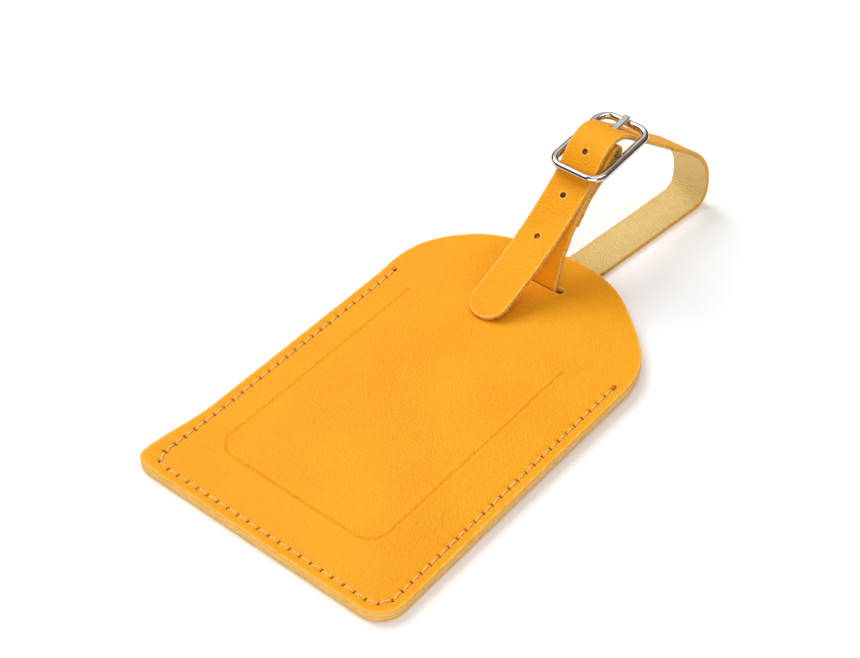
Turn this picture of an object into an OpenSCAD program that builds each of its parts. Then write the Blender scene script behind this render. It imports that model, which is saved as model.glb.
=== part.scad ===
// Luggage tag: two stitched panels of coated leather cloth with a card pocket between them,
// and a strap that passes through a slot in the panels and closes with a centre-bar buckle.
// Millimetres. +Y runs from the stitched end to the strap, +Z is the front, up.
// Origin: on the back face, where the tag's middle line crosses the middle line of the strap slot.

/* [Tag] */
// Width of the tag
tag_width = 70; // [62:1:84]
// Length of the tag, without its strap
tag_length = 114; // [104:1:138]
// Radius of the two lower corners
corner_radius = 4.5; // [3:0.5:8]
// Height of the domed end above the straight sides
dome_rise = 29.4; // [27:0.1:32]
// Radius of the dome's two shoulders
shoulder_radius = 25; // [18:0.5:26]
// Thickness of a panel's coated outer skin
skin_thickness = 0.6; // [0.4:0.05:0.9]
// Thickness of a panel's woven lining
lining_thickness = 0.8; // [0.7:0.05:1.2]

/* [Pocket] */
// Sideways shift of the pocket, the pressed line and the slot from the tag's middle
pocket_shift = -2.1; // [-3:0.1:3]
// Width of the name card
card_width = 54; // [50:0.5:56]
// Height of the name card
card_height = 86; // [70:0.5:88]
// Thickness of the name card
card_thickness = 0.3; // [0.2:0.05:0.35]
// Width of the window in the back panel
window_width = 46; // [38:0.5:48]
// Height of the window in the back panel
window_height = 73; // [60:0.5:76]
// Distance from the lower edge of the tag to the window
window_foot = 13.7; // [12:0.1:16]
// Corner radius of the window
window_radius = 5.3; // [3:0.1:7]
// Thickness of the clear window sheet
sheet_thickness = 0.25; // [0.15:0.05:0.3]
// How far the window sheet runs under the lining beyond the window
sheet_margin = 3.2; // [2:0.1:4]
// Width of the line pressed into the front skin
line_width = 0.6; // [0.4:0.1:1]
// Depth of the line pressed into the front skin
line_depth = 0.12; // [0.05:0.01:0.2]

/* [Seam] */
// Distance from the tag's edge to the seam
seam_inset = 2.5; // [2:0.1:3.5]
// Pitch of the stitches
stitch_pitch = 3.0; // [2.5:0.1:3.6]
// Visible length of one stitch
stitch_length = 2.2; // [1.6:0.1:2.4]
// Radius of the sewing thread
thread_radius = 0.27; // [0.2:0.01:0.35]

/* [Strap] */
// Width of the strap
strap_width = 10; // [8.5:0.1:13]
// Thickness of the whole strap, skin and backing together
strap_thickness = 1.2; // [1:0.05:1.25]
// Distance from the top of the dome to the middle of the slot
slot_inset = 11.4; // [9:0.1:14]
// Width of the slot across its length
slot_gap = 2.0; // [1.8:0.1:2.6]
// Play of the strap along the slot, both ends together
slot_play = 3.4; // [1.5:0.1:4]
// Radius of the punched strap holes
hole_radius = 0.9; // [0.7:0.05:1.2]
// Distance from the tongue's tip to its first hole
first_hole = 24; // [20:0.5:26]
// Pitch of the strap holes
hole_pitch = 11.6; // [10:0.1:12]

/* [Buckle] */
// Radius of the buckle's wire
wire_radius = 1; // [0.8:0.05:1]
// Length of the frame along the strap, outside
frame_length = 24.6; // [23:0.1:25]
// Gap between the strap's edge and the frame, each side
frame_side_gap = 0.8; // [0.4:0.05:1]
// Radius of the frame's corners, along the middle of the wire
frame_corner = 3.3; // [2:0.1:3.5]
// Tilt of the frame above level, towards the far bar
frame_tilt = 4.6; // [3.5:0.1:5.5]
// Width of the prong
prong_width = 1.6; // [1.2:0.1:2]
// Thickness of the prong
prong_thickness = 1.0; // [0.8:0.05:1.1]

/* [Hidden] */

$fn = 48;
eps = 0.01;

// clearances
slide_gap = 0.04;      // above and below the sliding card
card_side_gap = 0.5;   // each side of the card in its channel
sheet_gap = 0.1;       // round the edge of the window sheet
pin_gap = 0.05;        // radial gap of the strap fold and the prong eye on the centre bar
under_gap = 0.1;       // between the back skin and the strap that runs under it
fold_gap = 0.3;        // round the prong eye in the strap's fold

// heights of the layers above the back face
z_back_lining = skin_thickness;
z_middle = z_back_lining + lining_thickness;
z_front_skin = z_middle + lining_thickness;
z_top = z_front_skin + skin_thickness;

// places along the tag
y_slot = 0;
y_head = y_slot + slot_inset;
y_foot = y_head - tag_length;
y_shoulder = y_head - dome_rise;
seam_x = tag_width / 2 - seam_inset;
seam_y = y_foot + seam_inset;
slot_length = strap_width + slot_play;

// dome: the crown arc is tangent to both shoulder arcs
shoulder_x = tag_width / 2 - shoulder_radius;
crown_radius = (pow(shoulder_x, 2) + pow(dome_rise, 2) - pow(shoulder_radius, 2))
  / (2 * (dome_rise - shoulder_radius));
crown_y = y_head - crown_radius;
crown_angle = atan2(shoulder_x, y_shoulder - crown_y);

// stitches
side_stitches = floor((y_shoulder - seam_y) / stitch_pitch);
foot_stitches = round(2 * seam_x / stitch_pitch);
foot_pitch = 2 * seam_x / foot_stitches;

// buckle: the centre bar's place is measured from the slot and the back face
buckle_x = -3.0;
bar_y = y_slot + 23.2;
bar_z = z_top + 26.9;
frame_width = strap_width + 2 * (frame_side_gap + 2 * wire_radius);
half_w = frame_width / 2 - wire_radius;
half_l = frame_length / 2 - wire_radius;
wrap_radius = wire_radius + pin_gap + strap_thickness / 2;
eye_inner = wire_radius + pin_gap;
eye_outer = eye_inner + prong_thickness;

// Strap route, as the corners of its middle line. Each corner is [x, y, z, cut], with y from the
// slot and z from the front face; cut is how far the rounding reaches along each leg.
ground_z = -z_top - under_gap - strap_thickness / 2;
flap_end = [-3.0, 8.1, 13.9, 0];
flap_bend = [-3.0, 13.2, 20.0, 3];
near_bend = [-3.0, 12.5, 21.2, 4];
rise_bend = [-2.9, 3.9, 11.3, 7];
slot_head = [-2.4, 0, 1.2, 1.1];
slot_foot = [-2.4, 0, ground_z, 1.6];
head_edge = [0.6, slot_inset, ground_z, 7];
loop_foot = [4.7, 55.9, ground_z, 4.8];
loop_top = [4.7, 55.9, 10.4, 8.6];
far_bar_bend = [-2.8, 34.2, 24.9, 3];
crest = [-2.8, 20.9, 34.3, 8.2];
near_bar_bend = [-3.0, 12.1, 22.9, 2.5];
tongue_bend = [-4.0, -1.1, 11.3, 10];
tongue_tip = [-5.7, -20.3, 0.7, 0];

// where the strap is parted beside the slot, measured from the slot's middle
part_above = 2.5;   // above the front face
part_beside = 1.4;  // along the tag, under the back face

function place(c) = [c[0], y_slot + c[1], z_top + c[2]];
function unit(v) = v / norm(v);
function flat(v) = [0, v[1], v[2]];
// points along one rounded corner
function bend(p, c, q, n) =
  let (a = place(c) + c[3] * unit(place(p) - place(c)))
  let (b = place(c) + c[3] * unit(place(q) - place(c)))
  [for (i = [0:n]) let (t = i / n) (1 - t) * (1 - t) * a + 2 * t * (1 - t) * place(c) + t * t * b];

// heading of the tangent from a route point to the strap's wrap on the centre bar
function bar_reach(c) = [bar_y, bar_z] - [place(c)[1], place(c)[2]];
function tangent_angle(c, side) =
  let (v = bar_reach(c)) atan2(v[1], v[0]) + side * asin(wrap_radius / norm(v));
flap_angle = tangent_angle(flap_bend, -1) - 90;
rise_angle = tangent_angle(near_bend, 1) + 90;
function on_wrap(a) = [buckle_x, bar_y + wrap_radius * cos(a), bar_z + wrap_radius * sin(a)];
// a route corner standing for a point of the wrap
function as_corner(v) = [v[0], v[1] - y_slot, v[2] - z_top, 0];
wrap_steps = 14;
wrap_points = [for (i = [0:wrap_steps])
  on_wrap(flap_angle + (rise_angle - flap_angle) * i / wrap_steps)];

// rounded tip of the tongue: half widths of the strap, and the points where it has them
tip_turn = [0, 20, 38, 54, 68, 78, 86];
tip_back = unit(place(tongue_bend) - place(tongue_tip));
tip_points = [for (a = tip_turn) place(tongue_tip) + strap_width / 2 * (1 - sin(a)) * tip_back];
tip_halves = [for (a = tip_turn) strap_width / 2 * cos(a)];

route_buckle_end = concat(
  [place(flap_end)],
  bend(flap_end, flap_bend, as_corner(wrap_points[0]), 3),
  wrap_points,
  bend(as_corner(wrap_points[wrap_steps]), near_bend, rise_bend, 4),
  bend(near_bend, rise_bend, slot_head, 5),
  [[slot_head[0], y_slot, z_top + part_above] + (part_above - slot_head[2])
    * unit(place(rise_bend) - place(slot_head))]
);
route_in_slot = [
  [slot_head[0], y_slot, z_top + eps],
  [slot_head[0], y_slot, 0]
];
route_tongue_end = concat(
  [place(slot_foot) + part_beside * unit(place(head_edge) - place(slot_foot))],
  bend(slot_foot, head_edge, loop_foot, 3),
  bend(head_edge, loop_foot, loop_top, 6),
  bend(loop_foot, loop_top, far_bar_bend, 7),
  bend(loop_top, far_bar_bend, crest, 2),
  bend(far_bar_bend, crest, near_bar_bend, 8),
  bend(crest, near_bar_bend, tongue_bend, 2),
  bend(near_bar_bend, tongue_bend, tongue_tip, 4),
  tip_points
);

// the side of the route where the skin lies: to the right of its heading, seen from +X
function outward(r, i) =
  let (last = len(r) - 1)
  let (a = i == 0 ? [0, 0, 0] : unit(flat(r[i] - r[i - 1])))
  let (b = i == last ? [0, 0, 0] : unit(flat(r[i + 1] - r[i])))
  let (h = unit(a + b))
  [0, h[2], -h[1]];

// distance along a route from its end, and the point there
function run_back(r, i, left) =
  let (step = norm(r[i] - r[i - 1]))
  left <= step
    ? [r[i] + left * unit(r[i - 1] - r[i]), unit(flat(r[i] - r[i - 1]))]
    : run_back(r, i - 1, left - step);

module layer_of(r, low, high, tip = []) {
  rings = len(r);
  body = rings - len(tip);
  pts = [for (i = [0:rings - 1])
    let (half = [i < body ? strap_width / 2 : tip[i - body], 0, 0])
    let (n = outward(r, i))
    each [r[i] - half + low * n, r[i] + half + low * n, r[i] + half + high * n, r[i] - half + high * n]];
  sides = [for (i = [0:rings - 2]) for (k = [0:3])
    let (a = 4 * i + k)
    let (b = 4 * i + (k + 1) % 4)
    each [[a, b, b + 4], [a, b + 4, a + 4]]];
  caps = [[3, 2, 1, 0], [for (k = [0:3]) 4 * (rings - 1) + k]];
  polyhedron(pts, concat(sides, caps), convexity = 6);
}

module skin_layer(r, tip = []) { layer_of(r, 0, strap_thickness / 2, tip); }
module backing_layer(r, tip = []) { layer_of(r, -strap_thickness / 2, 0, tip); }

// 2-D shapes
module rounded_rect(w, h, r) {
  translate([-w / 2, r]) square([w, h - 2 * r]);
  translate([-w / 2 + r, 0]) square([w - 2 * r, h]);
  for (x = [-w / 2 + r, w / 2 - r])
    for (y = [r, h - r])
      translate([x, y]) circle(r);
}

module tag_outline() {
  reach = 2 * crown_radius;
  straight = y_shoulder - y_foot;
  translate([-tag_width / 2 + corner_radius, y_foot]) square([tag_width - 2 * corner_radius, straight]);
  translate([-tag_width / 2, y_foot + corner_radius]) square([tag_width, straight - corner_radius]);
  for (s = [-1, 1]) {
    translate([s * (tag_width / 2 - corner_radius), y_foot + corner_radius]) circle(corner_radius);
    translate([s * shoulder_x, y_shoulder]) circle(shoulder_radius, $fn = 96);
  }
  intersection() {
    translate([0, crown_y]) circle(crown_radius, $fn = 180);
    translate([0, crown_y]) polygon([
      [0, 0],
      [-reach * sin(crown_angle), reach * cos(crown_angle)],
      [reach * sin(crown_angle), reach * cos(crown_angle)]
    ]);
  }
  polygon([
    [-shoulder_x, y_shoulder - eps], [shoulder_x, y_shoulder - eps],
    [shoulder_x, y_shoulder], [0, crown_y + crown_radius * 0.9], [-shoulder_x, y_shoulder]
  ]);
}

module slot_shape() {
  translate([pocket_shift, y_slot]) {
    square([slot_length - slot_gap, slot_gap], center = true);
    for (s = [-1, 1]) translate([s * (slot_length - slot_gap) / 2, 0]) circle(slot_gap / 2);
  }
}

module window_shape(grow) {
  translate([pocket_shift, y_foot + window_foot - grow])
    rounded_rect(window_width + 2 * grow, window_height + 2 * grow, window_radius + grow);
}

module panel_layer(z, thickness) {
  translate([0, 0, z]) linear_extrude(thickness) difference() {
    tag_outline();
    slot_shape();
  }
}

// Panels
module front_skin() {
  color("#fbac2e") difference() {
    panel_layer(z_front_skin, skin_thickness);
    // pressed line, open at the top
    translate([0, 0, z_top - line_depth]) linear_extrude(line_depth + 1) intersection() {
      difference() {
        window_shape(line_width / 2);
        window_shape(-line_width / 2);
      }
      translate([pocket_shift - window_width, y_foot])
        square([2 * window_width, window_foot + window_height - window_radius]);
    }
  }
}

module card_channel() {
  width = card_width + 2 * card_side_gap;
  depth = card_thickness + 2 * slide_gap;
  translate([pocket_shift - width / 2, seam_y + 1, z_middle - 1])
    cube([width, y_slot - seam_y - 1 - slot_gap / 2, 1 + depth]);
}

module front_lining() {
  color("#ead08a") difference() {
    panel_layer(z_middle, lining_thickness);
    card_channel();
  }
}

module back_skin() {
  color("#fbac2e") difference() {
    panel_layer(0, skin_thickness);
    translate([0, 0, -1]) linear_extrude(skin_thickness + 2) window_shape(0);
  }
}

module back_lining() {
  color("#ead08a") difference() {
    panel_layer(z_back_lining, lining_thickness);
    translate([0, 0, z_back_lining - 1]) linear_extrude(lining_thickness + 2) window_shape(0);
    translate([0, 0, z_middle - sheet_thickness])
      linear_extrude(1 + sheet_thickness) window_shape(sheet_margin + sheet_gap);
  }
}

module window_sheet() {
  color([0.85, 0.9, 0.92, 0.4])
    translate([0, 0, z_middle - sheet_thickness]) linear_extrude(sheet_thickness) window_shape(sheet_margin);
}

module name_card() {
  color("white")
    translate([pocket_shift, seam_y + 2, z_middle + slide_gap])
      linear_extrude(card_thickness) rounded_rect(card_width, card_height, 3);
}

// Seam
module half_thread(length, face) {
  rotate([90, 0, 90]) linear_extrude(length, center = true) intersection() {
    circle(thread_radius, $fn = 24);
    translate([-1, face > 0 ? 0 : -1]) square([2, 1]);
  }
}

module seam(z, face) {
  for (s = [-1, 1])
    for (i = [0:side_stitches - 1])
      translate([s * seam_x, seam_y + (i + 0.5) * stitch_pitch, z])
        rotate(90) half_thread(stitch_length, face);
  for (i = [0:foot_stitches - 1])
    translate([-seam_x + (i + 0.5) * foot_pitch, seam_y, z]) half_thread(stitch_length, face);
}

module needle_thread() { color("#ffe29a") seam(z_top, 1); }
module bobbin_thread() { color("#ffe29a") seam(0, -1); }

// Back-tacked ends of the seam, melted into small beads on the front
module seam_tacks() {
  tack_y = seam_y + side_stitches * stitch_pitch;
  color("#d9651c") for (s = [-1, 1])
    translate([s * seam_x, tack_y + 0.3, z_top]) intersection() {
      sphere(0.7, $fn = 32);
      translate([-1, -1, 0]) cube([2, 2, 0.45]);
    }
}

// Strap, parted beside the slot where the leather bends
module eye_cut() {
  reach = prong_width + 2 * fold_gap;
  translate([buckle_x - reach / 2, bar_y, bar_z]) rotate([0, 90, 0])
    cylinder(h = reach, r = eye_outer + fold_gap);
}

module fold_pieces() {
  difference() {
    children();
    eye_cut();
  }
}

module strap_skin_buckle_end() { color("#fbac2e") fold_pieces() skin_layer(route_buckle_end); }
module strap_backing_buckle_end() { color("#ead08a") fold_pieces() backing_layer(route_buckle_end); }
module strap_skin_in_slot() { color("#fbac2e") skin_layer(route_in_slot); }
module strap_backing_in_slot() { color("#ead08a") backing_layer(route_in_slot); }

module punched_holes() {
  last = len(route_tongue_end) - 1;
  for (i = [0:2]) {
    spot = run_back(route_tongue_end, last, first_hole + i * hole_pitch);
    translate(spot[0]) rotate([atan2(-spot[1][2], -spot[1][1]), 0, 0])
      cylinder(h = 4 * strap_thickness, r = hole_radius, center = true);
  }
}

// opening that the prong keeps in the strap, tall enough for its lift and the frame's rock
module prong_cut() {
  low = eye_inner - 0.35;
  tall = prong_thickness + 0.35 + 0.8;
  translate([buckle_x, bar_y, bar_z]) rotate([prong_angle, 0, 0])
    translate([-prong_width / 2 - 0.3, 1, low]) cube([prong_width + 0.6, half_l - 2.2, tall]);
}

module tongue_pieces() {
  difference() {
    children();
    punched_holes();
    prong_cut();
  }
}

module strap_skin_tongue_end() {
  color("#fbac2e") tongue_pieces() skin_layer(route_tongue_end, tip_halves);
}

module strap_backing_tongue_end() {
  color("#ead08a") tongue_pieces() backing_layer(route_tongue_end, tip_halves);
}

// two rows of three stitches that hold the folded end, on both outer faces
module fold_stitches() {
  slope = atan2(flap_bend[2] - flap_end[2], flap_bend[1] - flap_end[1]);
  rise = atan2(near_bend[2] - rise_bend[2], near_bend[1] - rise_bend[1]);
  color("#ffe29a") for (x = [-3, 0, 3]) {
    translate(place(flap_end)) rotate([slope, 0, 0])
      translate([x, 2.2, -strap_thickness / 2]) half_thread(stitch_length, -1);
    translate(place(near_bend)) rotate([rise, 0, 0])
      translate([x, -6.2, strap_thickness / 2]) half_thread(stitch_length, 1);
  }
}

// Buckle, built about its centre bar
module at_centre_bar() {
  translate([buckle_x, bar_y, bar_z]) children();
}

module straight_bar(length) { cylinder(h = length, r = wire_radius, center = true); }

module buckle_frame() {
  corner_x = half_w - frame_corner;
  corner_y = half_l - frame_corner;
  color("silver") at_centre_bar() rotate([frame_tilt, 0, 0]) {
    for (s = [-1, 1]) {
      translate([s * half_w, 0, 0]) rotate([90, 0, 0]) straight_bar(2 * corner_y);
      translate([0, s * half_l, 0]) rotate([0, 90, 0]) straight_bar(2 * corner_x);
    }
    for (sx = [-1, 1])
      for (sy = [-1, 1])
        translate([sx * corner_x, sy * corner_y, 0])
          rotate([0, 0, sx > 0 ? (sy > 0 ? 0 : 270) : (sy > 0 ? 90 : 180)])
            rotate_extrude(angle = 90) translate([frame_corner, 0]) circle(wire_radius);
    rotate([0, 90, 0]) straight_bar(2 * half_w);
  }
}

// the prong lies from the top of its eye to the top of the far bar
far_bar_y = half_l * cos(frame_tilt);
far_bar_z = half_l * sin(frame_tilt);
prong_rise = far_bar_z + wire_radius + 0.1 - eye_inner;
prong_angle = atan2(prong_rise, far_bar_y);
prong_reach = half_l + wire_radius + 0.3;

module prong() {
  color("silver") at_centre_bar() rotate([prong_angle, 0, 0]) difference() {
    union() {
      rotate([0, 90, 0]) cylinder(h = prong_width, r = eye_outer, center = true);
      translate([-prong_width / 2, 0, eye_inner]) cube([prong_width, prong_reach, prong_thickness]);
      translate([0, prong_reach, eye_inner]) cylinder(h = prong_thickness, r = prong_width / 2);
    }
    rotate([0, 90, 0]) cylinder(h = prong_width + 2, r = eye_inner, center = true);
  }
}

front_skin();
front_lining();
back_skin();
back_lining();
window_sheet();
name_card();
needle_thread();
bobbin_thread();
seam_tacks();
strap_skin_buckle_end();
strap_backing_buckle_end();
strap_skin_in_slot();
strap_backing_in_slot();
strap_skin_tongue_end();
strap_backing_tongue_end();
fold_stitches();
buckle_frame();
prong();
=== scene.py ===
import math
import random

import bpy
import numpy as np
from mathutils import Matrix, Vector, kdtree, noise
from mathutils.geometry import delaunay_2d_cdt


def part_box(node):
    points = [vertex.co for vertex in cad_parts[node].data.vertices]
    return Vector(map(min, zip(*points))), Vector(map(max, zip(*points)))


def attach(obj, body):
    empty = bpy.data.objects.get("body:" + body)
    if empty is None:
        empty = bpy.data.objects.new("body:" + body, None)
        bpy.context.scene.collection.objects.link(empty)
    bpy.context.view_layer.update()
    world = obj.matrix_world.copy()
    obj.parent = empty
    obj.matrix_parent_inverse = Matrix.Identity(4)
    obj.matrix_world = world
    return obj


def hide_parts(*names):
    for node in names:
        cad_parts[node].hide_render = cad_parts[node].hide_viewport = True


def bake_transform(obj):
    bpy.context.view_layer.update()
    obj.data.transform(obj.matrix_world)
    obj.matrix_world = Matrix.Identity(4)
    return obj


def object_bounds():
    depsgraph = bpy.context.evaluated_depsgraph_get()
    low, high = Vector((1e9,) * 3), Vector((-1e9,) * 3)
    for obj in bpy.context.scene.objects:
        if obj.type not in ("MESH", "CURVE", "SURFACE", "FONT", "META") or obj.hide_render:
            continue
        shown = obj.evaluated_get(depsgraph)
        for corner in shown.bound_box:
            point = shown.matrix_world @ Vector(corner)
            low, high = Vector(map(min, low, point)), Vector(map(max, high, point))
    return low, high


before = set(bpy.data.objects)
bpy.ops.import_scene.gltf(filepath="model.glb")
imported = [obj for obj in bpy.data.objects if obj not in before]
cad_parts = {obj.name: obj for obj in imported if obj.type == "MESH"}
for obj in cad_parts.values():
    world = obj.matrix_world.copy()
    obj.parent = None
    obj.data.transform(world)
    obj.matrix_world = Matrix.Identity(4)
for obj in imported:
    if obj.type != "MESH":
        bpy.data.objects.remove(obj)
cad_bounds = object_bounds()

# Lengths below are in millimetres; a mesh is turned to metres when it is made.
MM = 0.001
rng = random.Random(7)


def corner_mm(node):
    """Lowest and highest corner of a CAD node, in millimetres."""
    low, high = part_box(node)
    return low / MM, high / MM


skin_low, skin_high = corner_mm("front_skin")
lining_low, _ = corner_mm("front_lining")
_, back_high = corner_mm("back_skin")
bar_low, bar_high = corner_mm("buckle_frame")
card_low, card_high = corner_mm("name_card")
sheet_low, sheet_high = corner_mm("window_sheet")

FLOOR_Z = cad_bounds[0].z / MM
HALF_W = skin_high.x
Y_FOOT, Y_HEAD = skin_low.y, skin_high.y
Z_TOP, Z_FRONT_SKIN = skin_high.z, skin_low.z
Z_MIDDLE, Z_BACK_LINING = lining_low.z, back_high.z


# ---------------------------------------------------------------- colour and nodes

def srgb(code):
    """Linear colour of an sRGB hex value."""
    parts = [int(code[i:i + 2], 16) / 255 for i in (1, 3, 5)]
    return (*[c / 12.92 if c <= 0.04045 else ((c + 0.055) / 1.055) ** 2.4 for c in parts], 1.0)


def add(tree, kind, inputs=None, **settings):
    """Adds a node with its settings. An input is a value, or the output that feeds it."""
    node = tree.nodes.new(kind)
    for name, value in settings.items():
        setattr(node, name, value)
    for socket, value in (inputs or {}).items():
        if isinstance(value, bpy.types.NodeSocket):
            tree.links.new(value, node.inputs[socket])
        else:
            node.inputs[socket].default_value = value
    return node


def blank(name, **sockets):
    """A material with one Principled shader, and its tree and shader."""
    material = bpy.data.materials.new(name)
    material.use_nodes = True
    tree = material.node_tree
    tree.nodes.clear()
    shader = add(tree, "ShaderNodeBsdfPrincipled", sockets)
    add(tree, "ShaderNodeOutputMaterial", {"Surface": shader.outputs[0]})
    return material, tree, shader


# Each piece keeps its place on the flat stock, in millimetres, in the point attribute "cut", so that a
# pattern is bent and sewn with it. "rim" is 1 at a cut edge, and "pit" is painted shade: 1 in a needle
# hole, less in the pressed line and on the walls of punched holes.
# A Map Range takes 0 its value, 1 and 2 where it comes from, and 3 and 4 where it goes. A Mix takes
# 0 its factor, and 6 and 7 its colours.
EASED = {"interpolation_type": "SMOOTHSTEP"}


def painted(tree, surface, ground, coats):
    """Colours a surface. Each coat has the pattern it follows, the two values it eases between, the
    least and the most of it that shows, and its colour."""
    colour = srgb(ground)
    for pattern, low, high, least, most, code in coats:
        share = add(tree, "ShaderNodeMapRange", {0: pattern, 1: low, 2: high, 3: least, 4: most}, **EASED)
        colour = add(tree, "ShaderNodeMix", {0: share.outputs[0], 6: colour, 7: srgb(code)},
                     data_type="RGBA").outputs[2]
    tree.links.new(colour, surface.inputs["Base Color"])


# Orange polyurethane coating on leather cloth, embossed between rollers: a satin face with a fine
# pebble, lighter where the coat was cut, with a painted highlight in the middles of the pebbles and
# painted shade in the needle holes, the pressed line and the punched holes.
GRAIN = 0.5      # one pebble of the embossing
MOTTLE = 1.6     # patches of slightly thinner coat
CLOUD = 22.0     # slow change of tone over the hide

leather, t, shader = blank("embossed_pu_leather", **{"Roughness": 0.6, "IOR": 1.5,
                           "Specular IOR Level": 0.2})
place = add(t, "ShaderNodeAttribute", attribute_name="cut").outputs["Vector"]
rim = add(t, "ShaderNodeAttribute", attribute_name="rim").outputs["Fac"]
pit_shade = add(t, "ShaderNodeAttribute", attribute_name="pit_shade").outputs["Fac"]
pebble = add(t, "ShaderNodeTexVoronoi", {"Vector": place, "Scale": 1 / GRAIN},
             feature="SMOOTH_F1").outputs["Distance"]
crease = add(t, "ShaderNodeTexNoise", {"Vector": place, "Scale": 1 / (GRAIN * 0.6), "Detail": 4.0}).outputs[0]
cloud = add(t, "ShaderNodeTexNoise", {"Vector": place, "Scale": 1 / CLOUD, "Detail": 3.0}).outputs[0]
mottle = add(t, "ShaderNodeTexNoise", {"Vector": place, "Scale": 1 / MOTTLE, "Detail": 5.0,
             "Roughness": 0.65}).outputs[0]
worn = add(t, "ShaderNodeMath", {0: rim, 1: mottle}, operation="MULTIPLY").outputs[0]
painted(t, shader, "#F3A010", [
    (cloud, 0.35, 0.65, 0.0, 1.0, "#F6A714"),
    (mottle, 0.35, 0.68, 0.0, 0.15, "#EE980C"),
    # painted highlight: the middle of each pebble a little lighter
    (pebble, 0.0, 0.35, 0.2, 0.0, "#FDAF30"),
    (worn, 0.2, 0.6, 0.0, 0.8, "#FFC458"),
    # painted shade in the needle holes, the pressed line and the punched holes
    (pit_shade, 0.1, 0.8, 0.0, 1.0, "#94440E")])
satin = add(t, "ShaderNodeMapRange", {0: crease, 1: 0.3, 2: 0.7, 3: 0.52, 4: 0.68}, **EASED).outputs[0]
t.links.new(satin, shader.inputs["Roughness"])
relief = add(t, "ShaderNodeBump", {"Height": pebble, "Strength": 0.85, "Distance": 0.0002})
relief = add(t, "ShaderNodeBump", {"Height": crease, "Strength": 0.2, "Distance": 0.0001,
             "Normal": relief.outputs[0]})
t.links.new(relief.outputs[0], shader.inputs["Normal"])


# Undyed polyester-cotton backing, woven with a rib across the strap: matt, cream, soft fibres.
RIB = 0.78       # one rib of the weave
YARN = 0.42      # one yarn beside the next along a rib
STAIN = 5.0      # patches of slightly yellower cloth


def woven(name, light, dark, frayed, rib_depth, ribbed):
    """Cloth of ribs across y and yarns across x; ribbed is near 0 on a lining, which is all fibre."""
    material, tree, surface = blank(name, **{"Roughness": 0.9, "Sheen Weight": 0.3,
                                    "Sheen Roughness": 0.5, "Specular IOR Level": 0.2})
    spot = add(tree, "ShaderNodeAttribute", attribute_name="cut").outputs["Vector"]
    edge = add(tree, "ShaderNodeAttribute", attribute_name="rim").outputs["Fac"]
    hole = add(tree, "ShaderNodeAttribute", attribute_name="pit_shade").outputs["Fac"]
    wander = add(tree, "ShaderNodeTexNoise", {"Vector": spot, "Scale": 1.1, "Detail": 3.0}).outputs["Color"]
    shaken = add(tree, "ShaderNodeVectorMath", {0: wander, 1: (0.5, 0.5, 0.0), 2: spot},
                 operation="MULTIPLY_ADD").outputs[0]
    ribs = add(tree, "ShaderNodeTexWave", {"Vector": shaken, "Scale": math.pi / (10 * RIB),
               "Distortion": 2.4, "Detail": 3.0, "Detail Scale": 2.0}, bands_direction="Y").outputs["Fac"]
    yarns = add(tree, "ShaderNodeTexWave", {"Vector": shaken, "Scale": math.pi / (10 * YARN),
                "Distortion": 1.5, "Detail": 2.0}, bands_direction="X").outputs["Fac"]
    drawn = add(tree, "ShaderNodeVectorMath", {0: spot, 1: (2.4, 5.0, 5.0)}, operation="MULTIPLY").outputs[0]
    fibre = add(tree, "ShaderNodeTexNoise", {"Vector": drawn, "Scale": 1.0, "Detail": 6.0,
                "Roughness": 0.75}).outputs[0]
    crossing = add(tree, "ShaderNodeMath", {0: ribs, 1: yarns}, operation="MULTIPLY").outputs[0]
    weave = add(tree, "ShaderNodeMath", {0: ribs, 1: 1.1, 2: crossing}, operation="MULTIPLY_ADD").outputs[0]
    height = add(tree, "ShaderNodeMath", {0: weave, 1: ribbed, 2: fibre}, operation="MULTIPLY_ADD").outputs[0]
    patch = add(tree, "ShaderNodeTexNoise", {"Vector": spot, "Scale": 1 / STAIN, "Detail": 3.0}).outputs[0]
    painted(tree, surface, dark, [
        (height, 0.3, 0.75 + 0.5 * ribbed, 0.0, 1.0, light),
        (patch, 0.4, 0.7, 0.0, 0.3, "#F6CF84"),
        (edge, 0.55, 1.0, 0.0, 0.85, frayed),
        # painted shade on the walls of punched holes
        (hole, 0.1, 0.6, 0.0, 1.0, "#8A4A18")])
    bump = add(tree, "ShaderNodeBump", {"Height": height, "Strength": rib_depth, "Distance": 0.00016})
    tree.links.new(bump.outputs[0], surface.inputs["Normal"])
    return material


strap_cloth = woven("ribbed_woven_backing", "#FFE799", "#FCC56C", "#FFBC48", 1.0, 1.0)
lining_cloth = woven("fuzzy_woven_lining", "#FFEFB4", "#FFC468", "#FFC864", 0.8, 0.1)


# Bonded polyester thread, two plies: yellow-orange, slightly shiny, with a painted highlight
# in lighter bands along the twist.
thread, t, shader = blank("twisted_polyester_thread", **{"Roughness": 0.5, "Sheen Weight": 0.3})
place = add(t, "ShaderNodeAttribute", attribute_name="cut").outputs["Vector"]
plies = add(t, "ShaderNodeTexWave", {"Vector": place, "Scale": 1.1, "Distortion": 0.8, "Detail": 3.0},
            bands_direction="DIAGONAL").outputs["Fac"]
# painted highlight: lighter bands along the twist of the plies
painted(t, shader, "#E59B2C", [(plies, 0.1, 0.8, 0.0, 1.0, "#FFD070")])
relief = add(t, "ShaderNodeBump", {"Height": plies, "Strength": 0.4, "Distance": 0.00006})
t.links.new(relief.outputs[0], shader.inputs["Normal"])


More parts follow.
